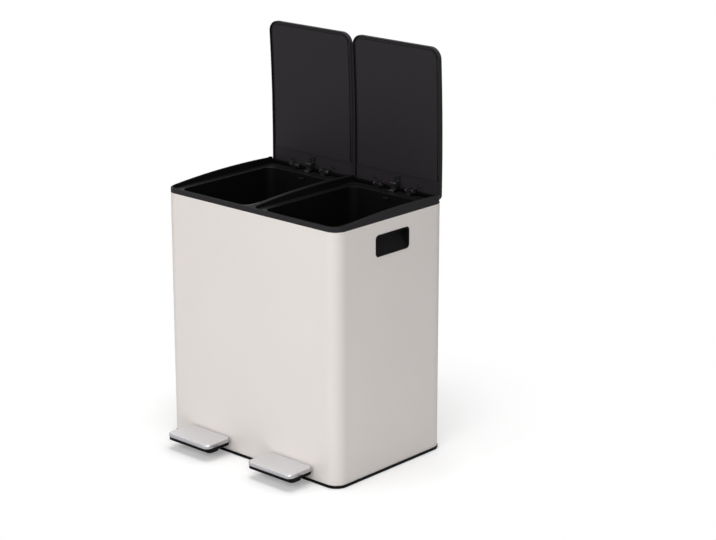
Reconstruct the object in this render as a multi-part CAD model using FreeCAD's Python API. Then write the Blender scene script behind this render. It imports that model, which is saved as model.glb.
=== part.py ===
"""A double recycling bin with two pedals: a coated steel body on a moulded base, a moulded top
frame, two lids that fold back past upright, two lift-out buckets, and one pedal linkage a side.

Millimetres. +Z is up, the front with the pedals faces -Y, and the origin is the middle of the
body's footprint on the floor. The lids stand open and the pedals are up.
"""
import FreeCAD, Part
import math
import os

Vector = FreeCAD.Vector
X_AXIS, Y_AXIS, Z_AXIS = Vector(1, 0, 0), Vector(0, 1, 0), Vector(0, 0, 1)

# Body
BODY_WIDTH = 550.0
BODY_DEPTH = 370.0
BODY_CORNER = 30.0
SKIN_THICKNESS = 0.7
SKIN_BOTTOM = 7.5
BASE_PROUD = 1.6
SKIN_TOP = 607.7
FLOOR_RING_TOP = 2.6
BASE_WALL_TOP = 40.0

# Top frame: its side walls and divider rise to a shallow arch
RIM_FRONT_TOP = 619.3
RIM_WIDTH = 6.5
FRONT_FLAT = 20.0
ARCH_RADIUS = 2300.0
ARCH_TOP_Y, ARCH_TOP_Z = 60.0, 630.2
DIVIDER_HALF = 5.0
LEDGE_TOP = 610.2
PLATE_BOTTOM = 607.2
DECK_FRONT, DECK_TOP = 148.6, 613.2

# Lids and their hinges
PIVOT_Y, PIVOT_Z = 162.6, 622.4
LID_INNER, LID_OUTER = 3.6, 269.5
LID_FRONT, LID_BACK = -186.0, 174.5
LID_CORNER, LID_REAR_CORNER = 28.0, 12.5
LID_ARCH_RADIUS = 4490.0
LID_ARCH_Y, LID_ARCH_Z = 100.0, 631.2
LID_THICKNESS = 14.0
LID_WALL = 2.2
LINER_GROOVE = 6.5
LID_OPEN_DEG = 90.0
KNUCKLE_RADIUS = 6.0
KNUCKLE_SPACING = 50.0
LID_LEVER_REACH = 12.5
RECESS_FRONT, RECESS_HEIGHT = 129.0, 635.0

# Buckets
BUCKET_INNER, BUCKET_OUTER = 7.0, 268.0
BUCKET_FRONT, BUCKET_BACK = -177.6, 148.0
BUCKET_TOP, BUCKET_BOTTOM = 613.5, 52.0
FLANGE_SIDE, FLANGE_FRONT, FLANGE_BACK = 21.5, 14.0, 11.0
BUCKET_WALL = 2.0
BUCKET_TAPER_DEG = 1.2

# Pedals and linkage
SIDE_CENTRE = 137.5
LEVER_PIVOT_Y, LEVER_PIVOT_Z = -55.0, 26.0
ROD_Y = 154.5
ROD_RADIUS = 2.5
PEDAL_HALF_WIDTH, PEDAL_OFFSET = 70.0, -3.0
PEDAL_FRONT, PEDAL_BACK = -267.0, -186.4
PEDAL_TOP, PEDAL_SKIRT = 41.5, 32.4
LEVER_HALF_WIDTH = 11.0
LEVER_THICKNESS = 5.0
CAP_TOP = 618.0
GUIDE_PLATE_BOTTOM, GUIDE_PLATE_TOP = 92.0, 98.0
COLLAR_TOP = 46.0
DAMPER_OFFSET = 23.0
RUNNING_GAP = 0.05

# Side handles
HANDLE_FRONT, HANDLE_BACK = -55.6, 59.0
HANDLE_BOTTOM, HANDLE_TOP = 525.3, 576.8
HANDLE_CORNER = 9.5
HANDLE_DEPTH = 17.0


def box(x0, x1, y0, y1, z0, z1):
    return Part.makeBox(x1 - x0, y1 - y0, z1 - z0, Vector(x0, y0, z0))


def cylinder(radius, start, axis, length):
    return Part.makeCylinder(radius, length, Vector(*start), axis)


def rounded_outline(x0, x1, y0, y1, z, radius, rear_radius=None):
    """A closed wire at height z: a rectangle with four round corners, the rear two if need be apart."""
    rear = rear_radius or radius
    corners = [(x1 - rear, y1 - rear, rear, 0), (x0 + rear, y1 - rear, rear, 90),
               (x0 + radius, y0 + radius, radius, 180), (x1 - radius, y0 + radius, radius, 270)]
    edges, first, last = [], None, None
    for cx, cy, bend, start_deg in corners:
        begin, middle, end = (
            Vector(cx + bend * math.cos(math.radians(start_deg + turn)),
                   cy + bend * math.sin(math.radians(start_deg + turn)), z)
            for turn in (0, 45, 90))
        if last is not None:
            edges.append(Part.LineSegment(last, begin).toShape())
        edges.append(Part.Arc(begin, middle, end).toShape())
        first = first or begin
        last = end
    edges.append(Part.LineSegment(last, first).toShape())
    return Part.Wire(edges)


def rounded_prism(x0, x1, y0, y1, z0, z1, radius, rear_radius=None):
    outline = rounded_outline(x0, x1, y0, y1, z0, radius, rear_radius)
    return Part.Face(outline).extrude(Vector(0, 0, z1 - z0))


def tapered(bottom, top):
    """A solid between two rounded outlines, each given as for rounded_outline."""
    return Part.makeLoft([rounded_outline(*bottom), rounded_outline(*top)], True, True)


def body_prism(inset, z0, z1):
    half_x, half_y = BODY_WIDTH / 2 - inset, BODY_DEPTH / 2 - inset
    return rounded_prism(-half_x, half_x, -half_y, half_y, z0, z1, BODY_CORNER - inset)


def wide_cylinder(radius, top_y, top_z):
    """The room under a shallow arch that runs across the whole width."""
    return cylinder(radius, (-400, top_y, top_z - radius), X_AXIS, 800)


def mirrored(shape):
    return shape.mirror(Vector(0, 0, 0), X_AXIS)


def opened(shape):
    """A lid piece drawn shut, turned to where the open lid stands."""
    shape.rotate(Vector(0, PIVOT_Y, PIVOT_Z), X_AXIS, -LID_OPEN_DEG)
    return shape


def joined(solids):
    first, *others = solids
    return first.fuse(others).removeSplitter() if others else first


def screw(x, y, z, radius, length, head_up=True):
    """A round-headed screw whose head sits on the plane z, with a cross recess."""
    turn = 1 if head_up else -1
    axis = Vector(0, 0, turn)
    head = cylinder(radius * 1.9, (x, y, z), axis, radius * 1.1)
    rim = [e for e in head.Edges if abs(e.CenterOfMass.z - (z + turn * radius * 1.1)) < 1e-6]
    head = head.makeFillet(radius * 0.6, rim)
    shank = cylinder(radius, (x, y, z), Vector(0, 0, -turn), length)
    top = z + turn * radius * 1.1
    deep = sorted((top + turn, top - turn * radius * 0.7))
    slot = radius * 0.22
    reach = radius * 1.1
    cross = box(x - reach, x + reach, y - slot, y + slot, *deep).fuse(
        box(x - slot, x + slot, y - reach, y + reach, *deep))
    return head.fuse(shank).cut(cross)


# The body: floor ring, base, steel skin, top frame and handle cups

def floor_ring():
    return body_prism(0, 0, FLOOR_RING_TOP).cut(body_prism(12, -1, FLOOR_RING_TOP + 1))


def pedal_gap(inset_front, half_width, z0, z1):
    """The openings through the front wall that the two pedal levers pass through."""
    front = -BODY_DEPTH / 2
    return [box(side * SIDE_CENTRE - half_width, side * SIDE_CENTRE + half_width,
                front - 5, front + inset_front, z0, z1) for side in (-1, 1)]


def base_tray():
    """A slightly proud rim on the floor ring, a ribbed floor, and a wall that locates the skin."""
    rim = body_prism(-BASE_PROUD, FLOOR_RING_TOP, SKIN_BOTTOM)
    under_floor = body_prism(14, FLOOR_RING_TOP - 1, SKIN_BOTTOM - 3)
    wall_inset = SKIN_THICKNESS + 0.2
    wall = body_prism(wall_inset, SKIN_BOTTOM, BASE_WALL_TOP).cut(
        body_prism(wall_inset + 3, SKIN_BOTTOM - 1, BASE_WALL_TOP + 1))
    ribs = [box(x - 1.5, x + 1.5, -165, 165, FLOOR_RING_TOP, SKIN_BOTTOM - 2)
            for x in (-205, -70, 0, 70, 205)]
    ribs += [box(-255, 255, y - 1.5, y + 1.5, FLOOR_RING_TOP, SKIN_BOTTOM - 2)
             for y in (-110, 0, 110)]
    tray = joined([rim.cut(under_floor), wall] + ribs)
    tray = tray.cut(pedal_gap(8, 32, SKIN_BOTTOM, BASE_WALL_TOP + 1))
    return tray.cut(base_screw_holes())


def body_skin():
    """One wrapped sheet, with the seam's lap on the back, two handle windows and pedal notches."""
    skin = body_prism(0, SKIN_BOTTOM, SKIN_TOP).cut(
        body_prism(SKIN_THICKNESS, SKIN_BOTTOM - 1, SKIN_TOP + 1))
    half_x, back = BODY_WIDTH / 2, BODY_DEPTH / 2
    lap = box(-9, 9, back - SKIN_THICKNESS * 2, back - SKIN_THICKNESS, 45, SKIN_TOP - 30)
    window = handle_outline(-half_x - 5, half_x + 5, 1.5)
    return skin.fuse(lap).cut([window] + pedal_gap(5, 30, SKIN_BOTTOM - 1, 37))


def crown_limit():
    """What the frame may fill: a flat front, the arch, and rounded wall ends at the hinge line."""
    reach = 300.0
    wall_end = PIVOT_Y + 7.4
    arch = wide_cylinder(ARCH_RADIUS, ARCH_TOP_Y, ARCH_TOP_Z).common(
        box(-reach, reach, -BODY_DEPTH / 2, PIVOT_Y, 560, 640))
    front = box(-reach, reach, -200, -BODY_DEPTH / 2 + FRONT_FLAT, 560, RIM_FRONT_TOP)
    below_pivot = box(-reach, reach, PIVOT_Y - 1, wall_end, 560, PIVOT_Z)
    knuckle = cylinder(7.4, (-reach, PIVOT_Y, PIVOT_Z), X_AXIS, 2 * reach)
    flange = box(-reach, reach, 160, 200, 560, SKIN_TOP + 1.9)
    return arch.fuse([front, below_pivot, knuckle, flange])


def bucket_wells():
    """The two open wells: one above the ledge for a flange, one through it for a bucket."""
    wells = []
    for x0, x1 in ((BUCKET_INNER - 0.6, BUCKET_OUTER + 0.5),
                   (-BUCKET_OUTER - 0.5, -BUCKET_INNER + 0.6)):
        y0, y1 = BUCKET_FRONT - 0.7, DECK_FRONT
        wells.append(rounded_prism(x0, x1, y0, y1, LEDGE_TOP, 650, 20))
        wells.append(rounded_prism(x0 + 16, x1 - 16, y0 + 9, y1 - 7.5, 560, 650, 22))
    return wells


def hinge_towers():
    """The fixed hinge knuckles on the rear deck, two for each lid."""
    towers = []
    for side in (-1, 1):
        for offset in (-KNUCKLE_SPACING, KNUCKLE_SPACING):
            x = side * SIDE_CENTRE + offset
            block = box(x - 7, x + 7, PIVOT_Y - KNUCKLE_RADIUS, PIVOT_Y + KNUCKLE_RADIUS,
                        DECK_TOP - 1, PIVOT_Z)
            eye = cylinder(KNUCKLE_RADIUS, (x - 7, PIVOT_Y, PIVOT_Z), X_AXIS, 14)
            towers.append(block.fuse(eye))
    return towers


def top_frame():
    outer = body_prism(0, SKIN_TOP, 640).fuse(body_prism(SKIN_THICKNESS + 0.15, 585, SKIN_TOP + 1))
    frame = outer.common(crown_limit())
    half_x, half_y = BODY_WIDTH / 2, BODY_DEPTH / 2
    below_plate = rounded_prism(-half_x + 3.4, half_x - 3.4, -half_y + 3.4, half_y - 3.4,
                                580, PLATE_BOTTOM, BODY_CORNER - 3.4)
    side_x = half_x - RIM_WIDTH
    over_deck = box(-side_x, side_x, DECK_FRONT - 21, 200, DECK_TOP, 650)
    divider_end = box(-DIVIDER_HALF, DIVIDER_HALF, DECK_FRONT - 22, 171, DECK_TOP - 1, 650)
    kept_end = divider_end.common(crown_limit())
    frame = frame.cut([below_plate, over_deck] + bucket_wells())
    frame = joined([frame, kept_end] + hinge_towers())
    cuts = []
    for side in (-1, 1):
        x = side * SIDE_CENTRE
        cuts.append(rounded_prism(x - 12.5, x + 12.5, 151.0, 158.4, 600, 620, 2))
        cuts.append(cylinder(2.5 + RUNNING_GAP, (x - 60, PIVOT_Y, PIVOT_Z), X_AXIS, 120))
    return frame.cut(cuts)


def handle_outline(x0, x1, inset):
    """A rounded window through the sides, drawn along X, smaller by inset all round."""
    flat = rounded_prism(HANDLE_FRONT + inset, HANDLE_BACK - inset, HANDLE_BOTTOM + inset,
                         HANDLE_TOP - inset, x0, x1, HANDLE_CORNER - inset)
    flat.rotate(Vector(0, 0, 0), Vector(1, 1, 1), 120)
    return flat


def wedge(shrink, x_end):
    """The space under the sloping back of a handle cup."""
    x_deep = BODY_WIDTH / 2 - HANDLE_DEPTH + shrink
    x_low = BODY_WIDTH / 2 - 3.0 + shrink
    points = [(x_end, HANDLE_BOTTOM), (x_end, HANDLE_TOP), (x_deep, HANDLE_TOP),
              (x_deep, HANDLE_TOP - 14), (x_low, HANDLE_BOTTOM + 3), (x_low, HANDLE_BOTTOM)]
    corners = [Vector(x, -80, z) for x, z in points]
    return Part.Face(Part.makePolygon(corners + corners[:1])).extrude(Vector(0, 160, 0))


def handle_cup():
    """A moulded finger cup: a thin bezel over the skin, deep at the top, shallow at the bottom."""
    half_x = BODY_WIDTH / 2
    bezel = handle_outline(half_x, half_x + 0.8, 0)
    shell = handle_outline(half_x - HANDLE_DEPTH - 5, half_x + 0.1, 1.8).common(wedge(0, half_x + 2))
    hollow = handle_outline(half_x - HANDLE_DEPTH - 5, half_x + 5, 3.6).common(
        wedge(1.8, half_x + 6))
    return bezel.fuse(shell).cut(hollow)


# Lids, drawn shut and then opened

def lid_outline(inset, z0, z1):
    return rounded_prism(LID_INNER + inset, LID_OUTER - inset, LID_FRONT + inset,
                         LID_BACK - inset, z0, z1, LID_CORNER - inset, LID_REAR_CORNER - inset)


def lid_arch(raise_by):
    return wide_cylinder(LID_ARCH_RADIUS + raise_by, LID_ARCH_Y, LID_ARCH_Z + raise_by)


def crowned(inset, raise_by, edge_radius):
    """A solid with the lid's outline and a softly rounded, arched top."""
    solid = lid_outline(inset, 600, 670).common(lid_arch(raise_by))
    top_edges = [e for e in solid.Edges if e.BoundBox.ZMin > 615]
    return solid.makeFillet(edge_radius, top_edges)


def lid_screw_places():
    return [(SIDE_CENTRE + dx, 152.5) for dx in (-68.0, 68.0)]


def lid_shell():
    inner_top = LID_THICKNESS - LID_WALL
    shell = crowned(0, LID_THICKNESS, 7).cut(crowned(LID_WALL, inner_top, 5)).cut(lid_arch(0))
    bosses = [cylinder(5, (x, y, RECESS_HEIGHT + 2.2), Z_AXIS, 9.2) for x, y in lid_screw_places()]
    holes = [cylinder(1.55, (x, y, 630), Z_AXIS, 13.2) for x, y in lid_screw_places()]
    return joined([shell] + bosses).cut(holes)


def lid_liner():
    """The inner panel: a shallow tray in a sunken groove, and a hinge recess with the knuckles."""
    inset = LID_WALL + 0.4
    outline = lid_outline(inset, 600, 670)
    panel = lid_outline(inset + LINER_GROOVE, 600, 670)
    inside = lid_outline(inset + LINER_GROOVE + 2, 590, 680)
    sheet = panel.common(lid_arch(3.2)).cut(lid_arch(1.2))
    wall = panel.common(lid_arch(6.2)).cut(lid_arch(1.3)).cut(inside)
    floor = outline.common(lid_arch(6.2)).cut(lid_arch(4.2)).cut(inside)
    recess = box(LID_INNER, LID_OUTER, RECESS_FRONT, LID_BACK, 600, RECESS_HEIGHT)
    recess_floor = box(LID_INNER, LID_OUTER, RECESS_FRONT - 2, LID_BACK,
                       RECESS_HEIGHT, RECESS_HEIGHT + 2).common(outline)
    recess_wall = box(LID_INNER, LID_OUTER, RECESS_FRONT - 2, RECESS_FRONT,
                      LID_ARCH_Z + 1.5, RECESS_HEIGHT + 2).common(panel)
    ears = []
    for offset in (-KNUCKLE_SPACING, KNUCKLE_SPACING):
        for x0 in (SIDE_CENTRE + offset - 11.5, SIDE_CENTRE + offset + 7.5):
            plate = box(x0, x0 + 4, PIVOT_Y - KNUCKLE_RADIUS, PIVOT_Y + KNUCKLE_RADIUS,
                        PIVOT_Z, RECESS_HEIGHT + 1)
            ears.append(plate.fuse(cylinder(KNUCKLE_RADIUS, (x0, PIVOT_Y, PIVOT_Z), X_AXIS, 4)))
    rings = [cylinder(8.5, (x, y, RECESS_HEIGHT - 1.2), Z_AXIS, 2).cut(
        cylinder(6, (x, y, RECESS_HEIGHT - 2), Z_AXIS, 4)) for x, y in lid_screw_places()]
    liner = joined([sheet, wall, floor, recess_wall, recess_floor]).cut(recess)
    liner = joined([liner] + ears + rings)
    holes = [cylinder(1.75, (x, y, 620), Z_AXIS, 30) for x, y in lid_screw_places()]
    holes.append(cylinder(2.5 + 0.02, (0, PIVOT_Y, PIVOT_Z), X_AXIS, 300))
    holes += [cylinder(1.3, (SIDE_CENTRE + dx, 141.0, 630), Z_AXIS, 8) for dx in (-5.0, 5.0)]
    return liner.cut(holes)


def lid_lever():
    """The nylon finger that the push rod lifts, on a foot screwed into the hinge recess."""
    x0, x1 = SIDE_CENTRE - 8, SIDE_CENTRE + 8
    finger = box(x0, x1, PIVOT_Y - LID_LEVER_REACH, PIVOT_Y + 4, PIVOT_Z - 4, PIVOT_Z + 4)
    tip_edges = [e for e in finger.Edges
                 if e.BoundBox.YLength < 0.01 and e.BoundBox.ZLength < 0.01
                 and e.CenterOfMass.y < PIVOT_Y]
    finger = finger.makeFillet(1.6, tip_edges)
    post = box(x0, x1, PIVOT_Y - 7, PIVOT_Y + 4, PIVOT_Z, RECESS_HEIGHT)
    foot = box(x0, x1, 136, PIVOT_Y + 4, RECESS_HEIGHT - 3, RECESS_HEIGHT)
    lever = joined([finger, post, foot])
    return lever.cut([cylinder(1.5, (SIDE_CENTRE + dx, 141.0, 620), Z_AXIS, 30) for dx in (-5, 5)])


def hinge_pins():
    """Two steel pins for a lid, each with a flat head outside the knuckle."""
    pins = []
    for offset in (-KNUCKLE_SPACING, KNUCKLE_SPACING):
        x = SIDE_CENTRE + offset
        shank = cylinder(2.5, (x - 12.5, PIVOT_Y, PIVOT_Z), X_AXIS, 24.6)
        head = cylinder(4, (x - 13.1, PIVOT_Y, PIVOT_Z), X_AXIS, 1.4)
        pins.append(shank.fuse(head))
    return Part.makeCompound(pins)


def lid_screws():
    return Part.makeCompound([screw(x, y, RECESS_HEIGHT - 0.05, 1.5, 8.0, head_up=False)
                              for x, y in lid_screw_places()])


def lever_screws():
    return Part.makeCompound([screw(SIDE_CENTRE + dx, 141.0, RECESS_HEIGHT - 3.05, 1.25, 4.6,
                                    head_up=False) for dx in (-5, 5)])


# Inner buckets

def bucket_outline(z, offset):
    """The bucket's inner outline at height z, grown outwards by offset."""
    taper = (BUCKET_TOP - z) * math.tan(math.radians(BUCKET_TAPER_DEG)) - offset
    return (BUCKET_INNER + FLANGE_SIDE + taper, BUCKET_OUTER - FLANGE_SIDE - taper,
            BUCKET_FRONT + FLANGE_FRONT + taper, BUCKET_BACK - FLANGE_BACK - taper, z, 22 + offset)


def inner_bucket():
    """A tapered pail that hangs by its flange, with a bag hook on its rear wall."""
    pail = tapered(bucket_outline(BUCKET_BOTTOM, BUCKET_WALL), bucket_outline(BUCKET_TOP, BUCKET_WALL))
    hollow = tapered(bucket_outline(BUCKET_BOTTOM + 2.5, 0), bucket_outline(BUCKET_TOP + 1, 0))
    flange = rounded_prism(BUCKET_INNER, BUCKET_OUTER, BUCKET_FRONT, BUCKET_BACK,
                           BUCKET_TOP - 3, BUCKET_TOP, 19.4)
    bucket = pail.fuse(flange).cut(hollow)
    rim = [e for e in bucket.Edges if abs(e.BoundBox.ZMin - BUCKET_TOP) < 0.01
           and e.BoundBox.ZLength < 0.01]
    bucket = bucket.makeFillet(1.4, rim)
    wall_y = bucket_outline(601, 0)[3]
    hook = box(SIDE_CENTRE - 9, SIDE_CENTRE + 9, wall_y - 5, wall_y + 1, 598.5, 603.5)
    edges = [e for e in hook.Edges if e.CenterOfMass.y < wall_y - 4]
    return joined([bucket, hook.makeFillet(2, edges)])


# Pedals and linkage, drawn at the middle and moved to each side

def pedal_outline(inset, z):
    """The pedal's outline on the right side, a little nearer the middle than its lever."""
    return (PEDAL_OFFSET - PEDAL_HALF_WIDTH + inset, PEDAL_OFFSET + PEDAL_HALF_WIDTH - inset,
            PEDAL_FRONT + inset, PEDAL_BACK - inset, z, 14 - inset * 0.6)


def pedal_cap(inset, bottom, top, edge):
    """The pedal's outer form: upright sides and a narrow sloping edge up to the flat tread."""
    sides = tapered(pedal_outline(inset, bottom), pedal_outline(inset, top - edge))
    return sides.fuse(tapered(pedal_outline(inset, top - edge), pedal_outline(inset + edge, top)))


def pedal_plate():
    return pedal_cap(0, PEDAL_SKIRT, PEDAL_TOP, 2.6).cut(
        pedal_cap(1.2, PEDAL_SKIRT - 1, PEDAL_TOP - 1.2, 2.1)).removeSplitter()


def pedal_base():
    """The moulded underside that fills the steel plate and clasps the lever."""
    filling = pedal_cap(1.4, PEDAL_SKIRT - 6, PEDAL_TOP - 1.4, 2.1)
    lip = tapered(pedal_outline(1.0, 24.6), pedal_outline(1.0, PEDAL_SKIRT - 0.1))
    x0, x1 = PEDAL_OFFSET - PEDAL_HALF_WIDTH, PEDAL_OFFSET + PEDAL_HALF_WIDTH
    belly = tapered((x0 + 2.6, x1 - 2.6, -256.5, -223.5, 19.5, 9),
                    (x0 + 1.2, x1 - 1.2, -258.0, -222.0, 26.0, 10))
    channel = box(-LEVER_HALF_WIDTH - 0.1, LEVER_HALF_WIDTH + 0.1, -252.1, -180, 10,
                  lever_top() + 0.05)
    pilots = [cylinder(1.8, (0, y, 20), Z_AXIS, 17) for y in pedal_screw_places()]
    pockets = [rounded_prism(x, x + 18, y0, y0 + 26, 10, PEDAL_TOP - 4.5, 3)
               for x in (-63, -38, 16, 40) for y0 in (-253, -218)]
    return joined([filling, lip, belly]).cut([channel] + pilots + pockets)


def pedal_screw_places():
    return (-238.0, -206.0)


def lever_top():
    return LEVER_PIVOT_Z + LEVER_THICKNESS / 2


def lever_bottom():
    return LEVER_PIVOT_Z - LEVER_THICKNESS / 2


def pedal_lever():
    """A flat steel bar on a pivot boss, forked at its rear end for the rod's foot."""
    bar = box(-LEVER_HALF_WIDTH, LEVER_HALF_WIDTH, -252, ROD_Y + 7, lever_bottom(), lever_top())
    boss = cylinder(8, (-LEVER_HALF_WIDTH, LEVER_PIVOT_Y, LEVER_PIVOT_Z), X_AXIS,
                    2 * LEVER_HALF_WIDTH)
    eyes = cylinder(6, (-LEVER_HALF_WIDTH, ROD_Y, LEVER_PIVOT_Z), X_AXIS, 2 * LEVER_HALF_WIDTH)
    lever = joined([bar, boss, eyes])
    cuts = [cylinder(5, (-20, LEVER_PIVOT_Y, LEVER_PIVOT_Z), X_AXIS, 40),
            cylinder(3, (-20, ROD_Y, LEVER_PIVOT_Z), X_AXIS, 40),
            box(-6, 6, ROD_Y - 13, ROD_Y + 20, 10, 45)]
    cuts += [cylinder(2.1, (0, y, 10), Z_AXIS, 30) for y in pedal_screw_places()]
    return lever.cut(cuts)


def pivot_bush():
    return cylinder(5, (-LEVER_HALF_WIDTH, LEVER_PIVOT_Y, LEVER_PIVOT_Z), X_AXIS,
                    2 * LEVER_HALF_WIDTH).cut(
        cylinder(3 + RUNNING_GAP, (-20, LEVER_PIVOT_Y, LEVER_PIVOT_Z), X_AXIS, 40))


def pivot_pin():
    shank = cylinder(3, (-16, LEVER_PIVOT_Y, LEVER_PIVOT_Z), X_AXIS, 31.5)
    head = cylinder(4.6, (-16.4, LEVER_PIVOT_Y, LEVER_PIVOT_Z), X_AXIS, 1.9)
    return shank.fuse(head)


def lever_pin():
    return cylinder(3, (-LEVER_HALF_WIDTH, ROD_Y, LEVER_PIVOT_Z), X_AXIS, 2 * LEVER_HALF_WIDTH)


def bracket_screw_places():
    return [(x, LEVER_PIVOT_Y + dy) for x in (-21.0, 21.0) for dy in (-9.0, 9.0)]


def guide_screw_places():
    return [(-24.0, ROD_Y), (44.0, ROD_Y)]


def pedal_bracket():
    """A pressed steel bracket: two ears on feet screwed to the base."""
    y0, y1 = LEVER_PIVOT_Y - 15, LEVER_PIVOT_Y + 15
    pieces = []
    for turn in (-1, 1):
        ear = sorted((turn * 11.8, turn * 13.8))
        foot = sorted((turn * 11.8, turn * 27.0))
        plate = box(*ear, y0 + 5, y1 - 5, SKIN_BOTTOM, LEVER_PIVOT_Z)
        eye = cylinder(10, (ear[0], LEVER_PIVOT_Y, LEVER_PIVOT_Z), X_AXIS, 2)
        pieces += [plate, eye, box(*foot, y0, y1, SKIN_BOTTOM, SKIN_BOTTOM + 2)]
    pieces.append(box(-13, 13, y0, y0 + 6, SKIN_BOTTOM, SKIN_BOTTOM + 2))
    pieces.append(box(-13, 13, y1 - 6, y1, SKIN_BOTTOM, SKIN_BOTTOM + 2))
    holes = [cylinder(3.02, (-20, LEVER_PIVOT_Y, LEVER_PIVOT_Z), X_AXIS, 40)]
    holes += [cylinder(2.1, (x, y, 0), Z_AXIS, 20) for x, y in bracket_screw_places()]
    return joined(pieces).cut(holes)


def push_rod():
    rod = cylinder(ROD_RADIUS, (0, ROD_Y, 34), Z_AXIS, CAP_TOP - 14 - 34)
    tip = cylinder(1.7, (0, ROD_Y, CAP_TOP - 15), Z_AXIS, 10)
    return rod.fuse(tip)


def rod_cap():
    """The nylon shoe on top of the rod that runs in the deck's slot and lifts the lid's finger."""
    block = box(-7, 7, ROD_Y - 3, ROD_Y + 3, CAP_TOP - 14, CAP_TOP)
    top = [e for e in block.Edges if e.BoundBox.ZMin > CAP_TOP - 0.01 and e.BoundBox.YLength < 0.01]
    block = block.makeFillet(1.2, top)
    return block.cut(cylinder(1.72, (0, ROD_Y, CAP_TOP - 20), Z_AXIS, 15.1))


def rod_foot():
    """The block that hangs on the lever's cross pin by a slot, so that the rod stays upright."""
    block = box(-5.5, 5.5, ROD_Y - 8, ROD_Y + 8, 17, 40)
    slot = joined([box(-9, 9, ROD_Y - 1.6, ROD_Y + 1.6, LEVER_PIVOT_Z - 3.1, LEVER_PIVOT_Z + 3.1)]
                  + [cylinder(3.1, (-9, ROD_Y + dy, LEVER_PIVOT_Z), X_AXIS, 18)
                     for dy in (-1.6, 1.6)])
    return block.cut([slot, cylinder(ROD_RADIUS + 0.02, (0, ROD_Y, 33.9), Z_AXIS, 10)])


def rod_collar():
    """A clamped plate on the rod: the return spring's seat, and the arm of the damper's plunger."""
    plate = rounded_prism(-7, DAMPER_OFFSET + 6, ROD_Y - 6, ROD_Y + 6, COLLAR_TOP - 4,
                          COLLAR_TOP, 5)
    return plate.cut([cylinder(ROD_RADIUS + 0.02, (0, ROD_Y, 30), Z_AXIS, 30),
                      cylinder(1.52, (DAMPER_OFFSET, ROD_Y, 30), Z_AXIS, 30)])


def rod_guide():
    """A moulded portal over the lever: it guides the rod and carries the damper."""
    x0, x1 = -18.0, 38.0
    legs = [box(x0, x0 + 4, ROD_Y - 7, ROD_Y + 7, SKIN_BOTTOM, GUIDE_PLATE_TOP),
            box(x1 - 4, x1, ROD_Y - 7, ROD_Y + 7, SKIN_BOTTOM, GUIDE_PLATE_TOP)]
    feet = [box(x0 - 12, x0 + 1, ROD_Y - 7, ROD_Y + 7, SKIN_BOTTOM, SKIN_BOTTOM + 3),
            box(x1 - 1, x1 + 12, ROD_Y - 7, ROD_Y + 7, SKIN_BOTTOM, SKIN_BOTTOM + 3)]
    plate = box(x0, x1, ROD_Y - 9, ROD_Y + 9, GUIDE_PLATE_BOTTOM, GUIDE_PLATE_TOP)
    holes = [cylinder(ROD_RADIUS + 0.1, (0, ROD_Y, 80), Z_AXIS, 30),
             cylinder(2.2, (DAMPER_OFFSET, ROD_Y, 80), Z_AXIS, 30)]
    holes += [cylinder(2.1, (x, y, 0), Z_AXIS, 20) for x, y in guide_screw_places()]
    return joined(legs + feet + [plate]).cut(holes)


def damper_cylinder():
    """The closed air cylinder that slows the rod on its way down, so that the lid shuts softly."""
    body = cylinder(7.5, (DAMPER_OFFSET, ROD_Y, GUIDE_PLATE_TOP), Z_AXIS, 58)
    bore = cylinder(6.05, (DAMPER_OFFSET, ROD_Y, GUIDE_PLATE_TOP + 3), Z_AXIS, 52)
    gland = cylinder(2 + RUNNING_GAP, (DAMPER_OFFSET, ROD_Y, GUIDE_PLATE_TOP - 1), Z_AXIS, 10)
    return body.cut([bore, gland])


def damper_plunger():
    rod = cylinder(2, (DAMPER_OFFSET, ROD_Y, COLLAR_TOP), Z_AXIS, 62)
    tip = cylinder(1.5, (DAMPER_OFFSET, ROD_Y, COLLAR_TOP - 4), Z_AXIS, 5)
    piston = cylinder(6, (DAMPER_OFFSET, ROD_Y, COLLAR_TOP + 58), Z_AXIS, 5)
    return joined([rod, tip, piston])


def arc_from(start, tangent, end):
    """The circular arc that leaves start along tangent and passes through end."""
    chord = end - start
    normal = tangent.cross(chord).cross(tangent)
    normal.normalize()
    radius = chord.Length ** 2 / (2 * chord.dot(normal))
    centre = start + normal * radius
    half = (start - centre) + (end - centre)
    half.normalize()
    return Part.Arc(start, centre + half * radius, end).toShape()


def heading_at_end(start, tangent, end):
    """The heading at the end of the arc that leaves start along tangent and reaches end."""
    chord = end - start
    chord.normalize()
    return chord * (2 * tangent.dot(chord)) - tangent


def return_spring():
    """A compression spring round the rod, between its collar and the guide: one coiled wire."""
    wire_radius, coil_radius, turns = 0.7, 5.4, 8
    z0, z1 = COLLAR_TOP + wire_radius + 0.1, GUIDE_PLATE_BOTTOM - wire_radius - 0.1
    steps = turns * 4
    step_angle = 2 * math.pi / 4
    rise = (z1 - z0) / (turns * 2 * math.pi)

    def place(angle):
        return Vector(coil_radius * math.cos(angle), ROD_Y + coil_radius * math.sin(angle),
                      z0 + rise * angle)

    def heading(angle):
        way = Vector(-coil_radius * math.sin(angle), coil_radius * math.cos(angle), rise)
        way.normalize()
        return way

    edges = []
    for i in range(steps):
        a, b = i * step_angle, (i + 1) * step_angle
        start, end, out, back = place(a), place(b), heading(a), heading(b)
        chord, both = end - start, out + back
        gap = 2 * (1 - out.dot(back))
        reach = (-chord.dot(both) + math.sqrt(chord.dot(both) ** 2 + gap * chord.dot(chord))) / gap
        middle = (start + end + (out - back) * reach) * 0.5
        edges.append(arc_from(start, out, middle))
        edges.append(arc_from(middle, heading_at_end(start, out, middle), end))
    path = Part.Wire(edges)
    circle = Part.Wire(Part.makeCircle(wire_radius, place(0), heading(0)))
    print("return spring: least gap between turns",
          round((z1 - z0) / turns - 2 * wire_radius, 2), "mm")
    return path.makePipeShell([circle], True, False)


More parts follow.
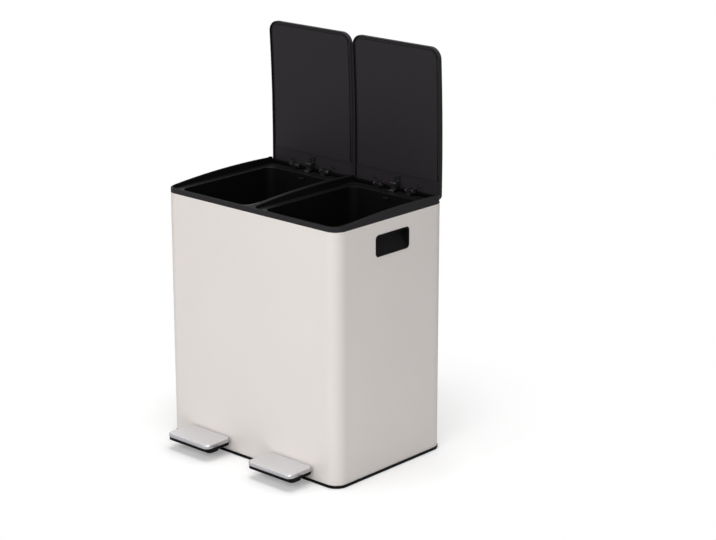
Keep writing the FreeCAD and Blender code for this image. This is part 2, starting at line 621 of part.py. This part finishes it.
def pedal_screws():
    return Part.makeCompound([screw(0, y, lever_bottom() - 0.02, 1.75, 11, head_up=False)
                              for y in pedal_screw_places()])


def base_screw_holes():
    places = [(side * (SIDE_CENTRE + x), y) for side in (-1, 1)
              for x, y in bracket_screw_places() + guide_screw_places()]
    return [cylinder(1.8, (x, y, SKIN_BOTTOM - 2.4), Z_AXIS, 5) for x, y in places]


def bracket_screws():
    return Part.makeCompound([screw(side * (SIDE_CENTRE + x), y, SKIN_BOTTOM + 2.02, 1.75, 4.2)
                              for side in (-1, 1) for x, y in bracket_screw_places()])


def guide_screws():
    return Part.makeCompound([screw(side * (SIDE_CENTRE + x), y, SKIN_BOTTOM + 3.02, 1.75, 5.2)
                              for side in (-1, 1) for x, y in guide_screw_places()])


def export(node, shape):
    volume = shape.Volume
    print(f"{node:24s} solids {len(shape.Solids):2d}  valid {shape.isValid()}  {volume / 1000:9.2f} cm3")
    shape.exportStep(f"parts/{node}.step")


def export_linkages():
    """Each linkage piece is drawn on the middle plane and moved out to the right.

    The left ones mirror them, but for the springs, which are wound the same way.
    """
    pieces = {"pedal_plate": pedal_plate, "pedal_base": pedal_base, "pedal_screws": pedal_screws,
              "pedal_lever": pedal_lever, "pivot_bush": pivot_bush, "pivot_pin": pivot_pin,
              "lever_pin": lever_pin, "pedal_bracket": pedal_bracket, "push_rod": push_rod,
              "rod_cap": rod_cap, "rod_foot": rod_foot, "rod_collar": rod_collar,
              "rod_guide": rod_guide, "damper_cylinder": damper_cylinder,
              "damper_plunger": damper_plunger, "return_spring": return_spring}
    for name, make in pieces.items():
        shape = make()
        right = shape.translated(Vector(SIDE_CENTRE, 0, 0))
        wound = shape.translated(Vector(-SIDE_CENTRE, 0, 0))
        export(f"{name}_right", right)
        export(f"{name}_left", wound if make is return_spring else mirrored(right))


def export_lids_and_buckets():
    """The left lid and bucket mirror the right ones."""
    pieces = {"lid_shell": lid_shell, "lid_liner": lid_liner, "lid_lever": lid_lever,
              "hinge_pins": hinge_pins, "lid_screws": lid_screws, "lever_screws": lever_screws}
    for name, make in pieces.items():
        shape = opened(make())
        export(f"{name}_right", shape)
        export(f"{name}_left", mirrored(shape))
    for name, make in {"inner_bucket": inner_bucket, "handle_cup": handle_cup}.items():
        shape = make()
        export(f"{name}_right", shape)
        export(f"{name}_left", mirrored(shape))


def main():
    os.makedirs("parts", exist_ok=True)
    for make in (floor_ring, base_tray, body_skin, top_frame, bracket_screws, guide_screws):
        export(make.__name__, make())
    export_lids_and_buckets()
    export_linkages()


main()
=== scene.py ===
"""A double recycling bin with open lids, dressed for a catalogue shot."""
import math

import bmesh
import bpy
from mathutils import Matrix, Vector


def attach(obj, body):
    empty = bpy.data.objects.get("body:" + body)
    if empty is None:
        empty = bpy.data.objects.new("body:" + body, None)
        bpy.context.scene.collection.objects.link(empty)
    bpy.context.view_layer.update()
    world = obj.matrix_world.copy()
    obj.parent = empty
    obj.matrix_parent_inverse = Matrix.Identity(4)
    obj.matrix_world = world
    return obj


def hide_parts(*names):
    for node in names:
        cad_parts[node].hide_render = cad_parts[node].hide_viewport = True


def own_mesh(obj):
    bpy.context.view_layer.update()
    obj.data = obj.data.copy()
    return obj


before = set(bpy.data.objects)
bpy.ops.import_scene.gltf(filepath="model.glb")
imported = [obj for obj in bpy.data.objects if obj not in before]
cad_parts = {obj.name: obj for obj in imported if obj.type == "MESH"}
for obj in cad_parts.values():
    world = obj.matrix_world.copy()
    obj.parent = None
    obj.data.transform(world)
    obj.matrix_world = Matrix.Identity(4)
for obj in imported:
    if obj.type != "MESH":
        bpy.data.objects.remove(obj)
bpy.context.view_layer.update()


# The studio: a white sweep, three soft boxes spread from the front left to the front right, and an
# overhead panel. The lens is long and stands in front of the bin's right corner, where the
# photo's upright and level edges put it.
def linear(colour):
    """An sRGB hex colour as linear RGBA."""
    channels = [int(colour[i:i + 2], 16) / 255 for i in (1, 3, 5)]
    return [c / 12.92 if c <= 0.04045 else ((c + 0.055) / 1.055) ** 2.4 for c in channels] + [1.0]


def add(tree, kind, inputs=None, **settings):
    """A node of that kind with its settings, its values and its links."""
    made = tree.nodes.new(kind)
    for name, value in settings.items():
        setattr(made, name, value)
    for socket, value in (inputs or {}).items():
        if isinstance(value, bpy.types.NodeSocket):
            tree.links.new(value, made.inputs[socket])
        else:
            made.inputs[socket].default_value = value
    return made


scene = bpy.context.scene
scene.view_settings.view_transform = "Standard"

FOCAL_LENGTH, SENSOR_WIDTH = 106.82, 36.0
LENS_PLACE = (3.32709, -3.46570, 1.89031)
LENS_AIM = Vector((0.170967, 0.0, 0.463315))
lens = bpy.data.cameras.new("long_lens")
lens.lens = FOCAL_LENGTH
lens.sensor_width = SENSOR_WIDTH
camera = bpy.data.objects.new("long_lens", lens)
camera.location = LENS_PLACE
camera.rotation_euler = (LENS_AIM - camera.location).to_track_quat("-Z", "Y").to_euler()
scene.collection.objects.link(camera)
scene.camera = camera

# Each lamp's place and side in metres, and its power in watts.
LIGHT_AIM = Vector((0.0, 0.0, 0.4))
soft_boxes = {"left_box": ((-1.7, -3.5, 2.4), 2.2, 29.0),
              "front_box": ((1.3, -3.7, 2.4), 2.2, 55.0),
              "right_box": ((2.8, -2.4, 1.8), 1.6, 26.0),
              "top_panel": ((0.0, 0.2, 3.4), 2.2, 80.0)}
for name, (place, side, watts) in soft_boxes.items():
    lamp = bpy.data.lights.new(name, "AREA")
    lamp.size = side
    lamp.energy = watts
    box = bpy.data.objects.new(name, lamp)
    box.location = place
    box.rotation_euler = (LIGHT_AIM - box.location).to_track_quat("-Z", "Y").to_euler()
    scene.collection.objects.link(box)

# The room gives a weak fill, and shows white to the lens and in reflections.
FILL = 0.15
world = bpy.data.worlds.new("white_studio")
scene.world = world
world.use_nodes = True
tree = world.node_tree
tree.nodes.clear()
path = add(tree, "ShaderNodeLightPath")
seen = add(tree, "ShaderNodeMath", {0: path.outputs["Is Camera Ray"],
                                    1: path.outputs["Is Glossy Ray"]}, operation="MAXIMUM")
seen = add(tree, "ShaderNodeMath", {0: seen.outputs[0],
                                    1: path.outputs["Is Transmission Ray"]}, operation="MAXIMUM")
fill = add(tree, "ShaderNodeBackground", {"Strength": FILL})
white = add(tree, "ShaderNodeBackground", {"Strength": 1.0})
for background in (fill, white):
    background.inputs["Color"].default_value = linear("#FFFFFF")
both = add(tree, "ShaderNodeMixShader", {0: seen.outputs[0], 1: fill.outputs[0],
                                         2: white.outputs[0]})
add(tree, "ShaderNodeOutputWorld", {"Surface": both.outputs[0]})

# The paper keeps the bin's shadow close to it, and clears to white further out.
SWEEP_HALF, CLEARS_FROM, CLEARS_AT = 6.0, 0.38, 0.80
PAPER_LIFT = 0.22
sweep_mesh = bmesh.new()
bmesh.ops.create_grid(sweep_mesh, x_segments=1, y_segments=1, size=SWEEP_HALF)
sweep_data = bpy.data.meshes.new("white_sweep")
sweep_mesh.to_mesh(sweep_data)
sweep_mesh.free()
sweep = bpy.data.objects.new("white_sweep", sweep_data)
scene.collection.objects.link(sweep)
paper = bpy.data.materials.new("matt_white_paper")
paper.use_nodes = True
tree = paper.node_tree
tree.nodes.clear()
path = add(tree, "ShaderNodeLightPath")
matt = add(tree, "ShaderNodeBsdfDiffuse", {"Color": linear("#EDEDED")})
lift = add(tree, "ShaderNodeEmission", {"Color": linear("#FFFFFF"), "Strength": PAPER_LIFT})
lit = add(tree, "ShaderNodeAddShader", {0: matt.outputs[0], 1: lift.outputs[0]})
place = add(tree, "ShaderNodeTexCoord").outputs["Object"]
reach = add(tree, "ShaderNodeVectorMath", {0: place}, operation="LENGTH")
fade = add(tree, "ShaderNodeMapRange", {"Value": reach.outputs["Value"], "From Min": CLEARS_FROM,
                                        "From Max": CLEARS_AT}, interpolation_type="SMOOTHSTEP")
clear = add(tree, "ShaderNodeEmission", {"Color": linear("#FFFFFF"), "Strength": 1.0})
near = add(tree, "ShaderNodeMixShader", {0: fade.outputs[0], 1: lit.outputs[0],
                                         2: clear.outputs[0]})
shown = add(tree, "ShaderNodeMixShader", {0: path.outputs["Is Camera Ray"], 1: matt.outputs[0],
                                          2: near.outputs[0]})
add(tree, "ShaderNodeOutputMaterial", {"Surface": shown.outputs[0]})
sweep_data.materials.append(paper)


# The body: one sheet of steel wrapped round all four sides, seamed down the middle of the back and
# powder coated in a warm pale grey. It slides over the base and is held by the top frame.
MM = 0.001
sides = ("left", "right")


def started(name):
    """A new material: its tree, its shader, and the place on the object in metres."""
    material = bpy.data.materials.new(name)
    material.use_nodes = True
    tree = material.node_tree
    tree.nodes.clear()
    shader = add(tree, "ShaderNodeBsdfPrincipled")
    add(tree, "ShaderNodeOutputMaterial", {"Surface": shader.outputs[0]})
    place = add(tree, "ShaderNodeTexCoord").outputs["Object"]
    return material, tree, shader, place


def dress(material, *nodes):
    """Gives carried-over nodes their finish."""
    for name in nodes:
        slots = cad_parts[name].data.materials
        slots.clear()
        slots.append(material)


def softened(node, body, slot, finish, *rounds):
    """The node's own form as one closed mesh, with the small radii that the real edges have.

    Each round is a radius in mm, its steps, and a test of the edge's middle in metres. Only
    outside edges that turn more than 35 degrees are rounded. The faces keep the side they face.
    """
    form = bmesh.new()
    form.from_mesh(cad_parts[node].data)
    bmesh.ops.remove_doubles(form, verts=form.verts, dist=0.001 * MM)
    bmesh.ops.dissolve_limit(form, angle_limit=math.radians(0.3), verts=form.verts,
                             edges=form.edges)
    for radius, steps, wanted in rounds:
        form.normal_update()
        sharp = [edge for edge in form.edges if edge.is_manifold
                 and edge.calc_face_angle_signed() > math.radians(35)
                 and wanted((edge.verts[0].co + edge.verts[1].co) / 2)]
        bmesh.ops.bevel(form, geom=sharp, offset=radius * MM, segments=steps, affect="EDGES",
                        profile=0.5, clamp_overlap=False, material=-1)
    for face in form.faces:
        face.smooth = True
    mesh = bpy.data.meshes.new(f"{node}_softened")
    form.to_mesh(mesh)
    form.free()
    mesh.set_sharp_from_angle(angle=math.radians(40))
    mesh.materials.append(finish)
    piece = bpy.data.objects.new(f"{node}_softened", mesh)
    scene.collection.objects.link(piece)
    even = piece.modifiers.new("even_shading", "WEIGHTED_NORMAL")
    even.keep_sharp = True
    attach(piece, body)
    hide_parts(node)


# Powder coat: baked polyester, satin. It gives a soft broad highlight, a faint orange peel whose
# dimples are 2.6 mm across, and a tone that drifts a little over a hand's width.
PEEL, DRIFT = 2.6 * MM, 170 * MM
SEAM_FROM, SEAM_TO, SEAM_DEEP = 0.3 * MM, 1.1 * MM, 0.6 * MM
powder_coat, tree, shader, place = started("satin_powder_coat_on_steel")
shader.inputs["IOR"].default_value = 1.5
peel = add(tree, "ShaderNodeTexNoise", {"Vector": place, "Scale": 1 / PEEL, "Detail": 2.0})
drift = add(tree, "ShaderNodeTexNoise", {"Vector": place, "Scale": 1 / DRIFT, "Detail": 3.0})
tone = add(tree, "ShaderNodeMix", {0: drift.outputs["Fac"], 6: linear("#E3DDD9"),
                                   7: linear("#E6E0DC")}, data_type="RGBA")
tree.links.new(tone.outputs[2], shader.inputs["Base Color"])
gloss = add(tree, "ShaderNodeMapRange", {"Value": peel.outputs["Fac"], "To Min": 0.40,
                                         "To Max": 0.50})
tree.links.new(gloss.outputs[0], shader.inputs["Roughness"])
bumps = add(tree, "ShaderNodeBump", {"Height": peel.outputs["Fac"], "Strength": 0.12,
                                     "Distance": 0.05 * MM})
axes = add(tree, "ShaderNodeSeparateXYZ", {"Vector": place})
off_seam = add(tree, "ShaderNodeMath", {0: axes.outputs["X"]}, operation="ABSOLUTE")
beside = add(tree, "ShaderNodeMapRange", {"Value": off_seam.outputs[0], "From Min": SEAM_FROM,
                                          "From Max": SEAM_TO})
not_back = add(tree, "ShaderNodeMath", {0: axes.outputs["Y"], 1: 0.0}, operation="LESS_THAN")
flat = add(tree, "ShaderNodeMath", {0: beside.outputs[0], 1: not_back.outputs[0]},
           operation="MAXIMUM")
seam = add(tree, "ShaderNodeBump", {"Height": flat.outputs[0], "Strength": 1.0,
                                    "Distance": SEAM_DEEP, "Normal": bumps.outputs[0]})
tree.links.new(seam.outputs[0], shader.inputs["Normal"])
dress(powder_coat, "body_skin")


# The mouldings: the base, the top frame, the finger cups, the pedal undersides and the rod guides.
# All are injection moulded in black polypropylene, and snap or screw to the steel.

# The tool's spark-eroded grain makes the surface dull, nearly without reflections. Its 0.9 mm is
# coarser than the real one, so that it shows. The rim's outside face is painted paler, a painted
# sheen that stands in for the lamps' reflection on it.
GRAIN, FLOW = 0.9 * MM, 60 * MM
CORNER_X, CORNER_Y = 245 * MM, 155 * MM
SHEEN_FROM, SHEEN_AT, SHEEN_ABOVE = 28.2 * MM, 29.7 * MM, 600 * MM
black_pp, tree, shader, place = started("moulded_black_polypropylene")
shader.inputs["IOR"].default_value = 1.49
shader.inputs["Specular IOR Level"].default_value = 0.06
grain = add(tree, "ShaderNodeTexNoise", {"Vector": place, "Scale": 1 / GRAIN, "Detail": 2.0})
flow = add(tree, "ShaderNodeTexNoise", {"Vector": place, "Scale": 1 / FLOW, "Detail": 2.0})
tone = add(tree, "ShaderNodeMix", {0: flow.outputs["Fac"], 6: linear("#0D0D0E"),
                                   7: linear("#111112")}, data_type="RGBA")
span = add(tree, "ShaderNodeVectorMath", {0: place}, operation="ABSOLUTE")
past = add(tree, "ShaderNodeVectorMath", {0: span.outputs[0], 1: (CORNER_X, CORNER_Y, 1.0)},
           operation="SUBTRACT")
past = add(tree, "ShaderNodeVectorMath", {0: past.outputs[0], 1: (0.0, 0.0, 0.0)},
           operation="MAXIMUM")
past = add(tree, "ShaderNodeVectorMath", {0: past.outputs[0]}, operation="LENGTH")
outside = add(tree, "ShaderNodeMapRange", {"Value": past.outputs["Value"],
                                           "From Min": SHEEN_FROM, "From Max": SHEEN_AT})
height = add(tree, "ShaderNodeSeparateXYZ", {"Vector": place}).outputs["Z"]
above = add(tree, "ShaderNodeMath", {0: height, 1: SHEEN_ABOVE}, operation="GREATER_THAN")
painted_sheen = add(tree, "ShaderNodeMath", {0: outside.outputs[0], 1: above.outputs[0]},
             operation="MULTIPLY")
# Painted sheen: the rim's outside face above the steel is coloured paler, for the lamps'
# reflection.
tone = add(tree, "ShaderNodeMix", {0: painted_sheen.outputs[0], 6: tone.outputs[2],
                                   7: linear("#2B2A2C")}, data_type="RGBA")
tree.links.new(tone.outputs[2], shader.inputs["Base Color"])
gloss = add(tree, "ShaderNodeMapRange", {"Value": grain.outputs["Fac"], "To Min": 0.46,
                                         "To Max": 0.60})
tree.links.new(gloss.outputs[0], shader.inputs["Roughness"])
bumps = add(tree, "ShaderNodeBump", {"Height": grain.outputs["Fac"], "Strength": 0.2,
                                     "Distance": 0.06 * MM})
tree.links.new(bumps.outputs[0], shader.inputs["Normal"])
dress(black_pp, "base_tray")


RIM_REACH, RIM_EDGE, RIM_FOOT = 29.4 * MM, 614.5 * MM, 612.6 * MM


def outer_rim(spot):
    """The rim's outside edge: on the body's outline, above the steel."""
    over_x = max(abs(spot.x) - CORNER_X, 0.0)
    over_y = max(abs(spot.y) - CORNER_Y, 0.0)
    return spot.z > RIM_EDGE and math.hypot(over_x, over_y) > RIM_REACH


softened("top_frame", "bin_body", "black_moulding", black_pp,
         (2.6, 4, outer_rim),
         (0.8, 2, lambda spot: spot.z > RIM_FOOT and not outer_rim(spot)))
for side in sides:
    dress(black_pp, f"rod_guide_{side}")
    softened(f"handle_cup_{side}", "bin_body", "black_moulding", black_pp,
             (0.5, 2, lambda spot: abs(spot.x) > 273 * MM))
    softened(f"pedal_base_{side}", f"pedal_{side}", "black_moulding", black_pp,
             (0.7, 2, lambda spot: spot.z < 33 * MM))


# The lids: a grained outer shell and a smoother inner panel screwed into it, both moulded in
# black polypropylene. They stand open, on steel pins in the hinge deck.

# The shell: the frame's grain with a little more shine left in it.
lid_skin, tree, shader, place = started("grained_black_lid_cover")
shader.inputs["IOR"].default_value = 1.49
grain = add(tree, "ShaderNodeTexNoise", {"Vector": place, "Scale": 1 / GRAIN, "Detail": 2.0})
shader.inputs["Base Color"].default_value = linear("#151415")
shader.inputs["Specular IOR Level"].default_value = 0.2
gloss = add(tree, "ShaderNodeMapRange", {"Value": grain.outputs["Fac"], "To Min": 0.40,
                                         "To Max": 0.54})
tree.links.new(gloss.outputs[0], shader.inputs["Roughness"])
bumps = add(tree, "ShaderNodeBump", {"Height": grain.outputs["Fac"], "Strength": 0.2,
                                     "Distance": 0.06 * MM})
tree.links.new(bumps.outputs[0], shader.inputs["Normal"])
for side in sides:
    softened(f"lid_shell_{side}", f"lid_{side}", "lid_skin", lid_skin,
             (0.6, 2, lambda spot: spot.y < 170 * MM))

# The panel: moulded in a plain satin tool, a shade warmer than the frame. It looks flat and even.
LINING_GRAIN = 0.7 * MM
lid_lining, tree, shader, place = started("satin_black_lid_lining")
shader.inputs["IOR"].default_value = 1.49
grain = add(tree, "ShaderNodeTexNoise", {"Vector": place, "Scale": 1 / LINING_GRAIN, "Detail": 2.0})
shader.inputs["Base Color"].default_value = linear("#201D20")
shader.inputs["Specular IOR Level"].default_value = 0.2
gloss = add(tree, "ShaderNodeMapRange", {"Value": grain.outputs["Fac"], "To Min": 0.48,
                                         "To Max": 0.60})
tree.links.new(gloss.outputs[0], shader.inputs["Roughness"])
for side in sides:
    softened(f"lid_liner_{side}", f"lid_{side}", "lid_lining", lid_lining,
             (0.5, 2, lambda spot: True))


# The inner buckets: thin tapered pails, injection moulded in black polypropylene, that hang by
# their flanges in the top frame and lift straight out.

# A polished tool leaves them smoother than the frame, so the walls take a soft upright highlight.
WALL_GRAIN = 1.2 * MM
bucket_pp, tree, shader, place = started("smooth_black_bucket_polypropylene")
shader.inputs["IOR"].default_value = 1.49
shader.inputs["Base Color"].default_value = linear("#0D0D0E")
shader.inputs["Specular IOR Level"].default_value = 0.08
grain = add(tree, "ShaderNodeTexNoise", {"Vector": place, "Scale": 1 / WALL_GRAIN, "Detail": 2.0})
gloss = add(tree, "ShaderNodeMapRange", {"Value": grain.outputs["Fac"], "To Min": 0.30,
                                         "To Max": 0.42})
tree.links.new(gloss.outputs[0], shader.inputs["Roughness"])
for side in sides:
    dress(bucket_pp, f"inner_bucket_{side}")


# The pedals: a pressed stainless plate, drawn down over a black moulded base and screwed with it
# to a steel lever that runs under the buckets.

# A belt brushes the flat top from side to side, which leaves it dull and even. The drawn skirt
# and crease keep the sheet's own smoother face, and are painted darker as painted shade.
BRUSH_LONG, BRUSH_WIDE = 30 * MM, 0.8 * MM
SKIRT_TO, TOP_FROM = 40.4 * MM, 41.4 * MM
CREASE_FROM = 36 * MM
pedal_steel, tree, shader, place = started("satin_stainless_pedal_plate")
shader.inputs["Metallic"].default_value = 1.0
stretch = add(tree, "ShaderNodeMapping", {
    "Vector": place, "Scale": (1 / BRUSH_LONG, 1 / BRUSH_WIDE, 1 / BRUSH_WIDE)})
lines = add(tree, "ShaderNodeTexNoise", {"Vector": stretch.outputs[0], "Scale": 1.0,
                                         "Detail": 3.0})
brushed = add(tree, "ShaderNodeMapRange", {"Value": lines.outputs["Fac"], "To Min": 0.58,
                                           "To Max": 0.70})
height = add(tree, "ShaderNodeSeparateXYZ", {"Vector": place}).outputs["Z"]
on_top = add(tree, "ShaderNodeMapRange", {"Value": height, "From Min": SKIRT_TO,
                                          "From Max": TOP_FROM})
gloss = add(tree, "ShaderNodeMix", {0: on_top.outputs[0], 2: 0.22, 3: brushed.outputs[0]})
# Painted shade: the skirt and crease are coloured darker than the top.
tone = add(tree, "ShaderNodeMix", {0: on_top.outputs[0], 6: linear("#BAB9BD"),
                                   7: linear("#CFCECF")}, data_type="RGBA")
tree.links.new(tone.outputs[2], shader.inputs["Base Color"])
tree.links.new(gloss.outputs[0], shader.inputs["Roughness"])
for side in sides:
    softened(f"pedal_plate_{side}", f"pedal_{side}", "pedal_steel", pedal_steel,
             (0.7, 3, lambda spot: spot.z > CREASE_FROM),
             (0.3, 2, lambda spot: spot.z < CREASE_FROM))


# The hinge pins and the linkage: steel bar, rod and sheet, with the screws that hold them.

# Zinc plate, clear passivated: a pale bluish metal, cloudy over a few millimetres.
PLATE_CLOUD = 4 * MM
zinc, tree, shader, place = started("bright_zinc_plated_steel")
shader.inputs["Metallic"].default_value = 1.0
shader.inputs["Base Color"].default_value = linear("#B9BBBE")
cloud = add(tree, "ShaderNodeTexNoise", {"Vector": place, "Scale": 1 / PLATE_CLOUD, "Detail": 2.0})
gloss = add(tree, "ShaderNodeMapRange", {"Value": cloud.outputs["Fac"], "To Min": 0.26,
                                         "To Max": 0.42})
tree.links.new(gloss.outputs[0], shader.inputs["Roughness"])
dress(zinc, "bracket_screws", "guide_screws")
for side in sides:
    dress(zinc, *(f"{name}_{side}" for name in (
        "hinge_pins", "pedal_screws", "pedal_lever", "pivot_pin", "lever_pin", "pedal_bracket",
        "push_rod", "rod_collar", "damper_plunger")))


# The screws in the lids' panels and levers: steel, blackened so that they don't show in the black
# plastic.

# Black oxide, oiled: a near black metal with a dull shine.
OXIDE_CLOUD = 1.5 * MM
black_oxide, tree, shader, place = started("black_oxide_screws")
shader.inputs["Metallic"].default_value = 1.0
shader.inputs["Base Color"].default_value = linear("#2B2B2D")
cloud = add(tree, "ShaderNodeTexNoise", {"Vector": place, "Scale": 1 / OXIDE_CLOUD, "Detail": 2.0})
gloss = add(tree, "ShaderNodeMapRange", {"Value": cloud.outputs["Fac"], "To Min": 0.45,
                                         "To Max": 0.60})
tree.links.new(gloss.outputs[0], shader.inputs["Roughness"])
for side in sides:
    dress(black_oxide, f"lid_screws_{side}", f"lever_screws_{side}")


# The running parts: the lids' fingers, the pivot bushes, the rods' caps and feet and the damper
# cylinders, injection moulded in nylon because it slides dry.

# Black nylon: smoother than the polypropylene, with small bright highlights.
NYLON_CLOUD = 3 * MM
nylon, tree, shader, place = started("black_nylon")
shader.inputs["IOR"].default_value = 1.53
shader.inputs["Base Color"].default_value = linear("#1B1B1C")
cloud = add(tree, "ShaderNodeTexNoise", {"Vector": place, "Scale": 1 / NYLON_CLOUD, "Detail": 2.0})
gloss = add(tree, "ShaderNodeMapRange", {"Value": cloud.outputs["Fac"], "To Min": 0.20,
                                         "To Max": 0.30})
tree.links.new(gloss.outputs[0], shader.inputs["Roughness"])
for side in sides:
    dress(nylon, *(f"{name}_{side}" for name in ("lid_lever", "pivot_bush", "rod_cap", "rod_foot",
                                                  "damper_cylinder")))


# The return springs: steel wire cold coiled round each push rod, with a closed turn at both ends.
# Each stands on the rod's collar, under the guide's bridge, and closes up as the rod rises.

# Hard drawn wire: grey and bright, with faint die marks.
WIRE_CLOUD = 2 * MM
spring_wire, tree, shader, place = started("drawn_spring_steel")
shader.inputs["Metallic"].default_value = 1.0
shader.inputs["Base Color"].default_value = linear("#8E8F92")
cloud = add(tree, "ShaderNodeTexNoise", {"Vector": place, "Scale": 1 / WIRE_CLOUD, "Detail": 2.0})
gloss = add(tree, "ShaderNodeMapRange", {"Value": cloud.outputs["Fac"], "To Min": 0.25,
                                         "To Max": 0.35})
tree.links.new(gloss.outputs[0], shader.inputs["Roughness"])
WIRE_RADIUS, COIL_RADIUS = 0.7 * MM, 5.4 * MM
TURNS, CLOSED_TURNS = 10, 1.0
CLOSED_PITCH = 2.1 * WIRE_RADIUS
COIL_FOOT, COIL_HEAD, SPRING_SEAT = 46.8 * MM, 91.2 * MM, 92 * MM
ROD_X, ROD_Y = 137.5 * MM, 154.5 * MM
STEPS_A_TURN, WIRE_SIDES = 28, 10


def coil_height(turn):
    """The wire's height after so many turns: a closed turn lies flat at each end."""
    ends = CLOSED_TURNS * CLOSED_PITCH
    pitch = (COIL_HEAD - COIL_FOOT - 2 * ends) / (TURNS - 2 * CLOSED_TURNS)
    if turn < CLOSED_TURNS:
        return COIL_FOOT + turn * CLOSED_PITCH
    if turn > TURNS - CLOSED_TURNS:
        return COIL_HEAD - (TURNS - turn) * CLOSED_PITCH
    return COIL_FOOT + ends + (turn - CLOSED_TURNS) * pitch


for side, middle in (("left", -ROD_X), ("right", ROD_X)):
    wire = bmesh.new()
    rings = []
    for i in range(TURNS * STEPS_A_TURN + 1):
        turn = i / STEPS_A_TURN
        angle = 2 * math.pi * turn
        out = Vector((math.cos(angle), math.sin(angle), 0.0))
        centre = Vector((middle, ROD_Y, coil_height(turn))) + out * COIL_RADIUS
        ring = []
        for k in range(WIRE_SIDES):
            a = 2 * math.pi * k / WIRE_SIDES
            round_wire = out * math.cos(a) + Vector((0, 0, math.sin(a)))
            ring.append(wire.verts.new(centre + round_wire * WIRE_RADIUS))
        rings.append(ring)
    for one, two in zip(rings, rings[1:]):
        for k in range(WIRE_SIDES):
            after = (k + 1) % WIRE_SIDES
            wire.faces.new((one[k], two[k], two[after], one[after]))
    wire.faces.new(rings[0])
    wire.faces.new(rings[-1][::-1])
    bmesh.ops.recalc_face_normals(wire, faces=wire.faces)
    for face in wire.faces:
        face.smooth = len(face.verts) == 4
    mesh = bpy.data.meshes.new(f"coil_spring_{side}")
    wire.to_mesh(mesh)
    wire.free()
    mesh.materials.append(spring_wire)
    coil = bpy.data.objects.new(f"coil_spring_{side}", mesh)
    scene.collection.objects.link(coil)
    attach(coil, "bin_body")
    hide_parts(f"return_spring_{side}")
    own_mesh(coil)


# The floor ring: a soft moulded rubber band pressed round the base's foot, which meets the floor.

# Rubber: black and matt, without a highlight.
RUBBER_BLOOM = 1 * MM
rubber, tree, shader, place = started("soft_black_rubber")
shader.inputs["IOR"].default_value = 1.52
shader.inputs["Base Color"].default_value = linear("#1A1A1A")
cloud = add(tree, "ShaderNodeTexNoise", {"Vector": place, "Scale": 1 / RUBBER_BLOOM, "Detail": 2.0})
gloss = add(tree, "ShaderNodeMapRange", {"Value": cloud.outputs["Fac"], "To Min": 0.75,
                                         "To Max": 0.9})
tree.links.new(gloss.outputs[0], shader.inputs["Roughness"])
dress(rubber, "floor_ring")
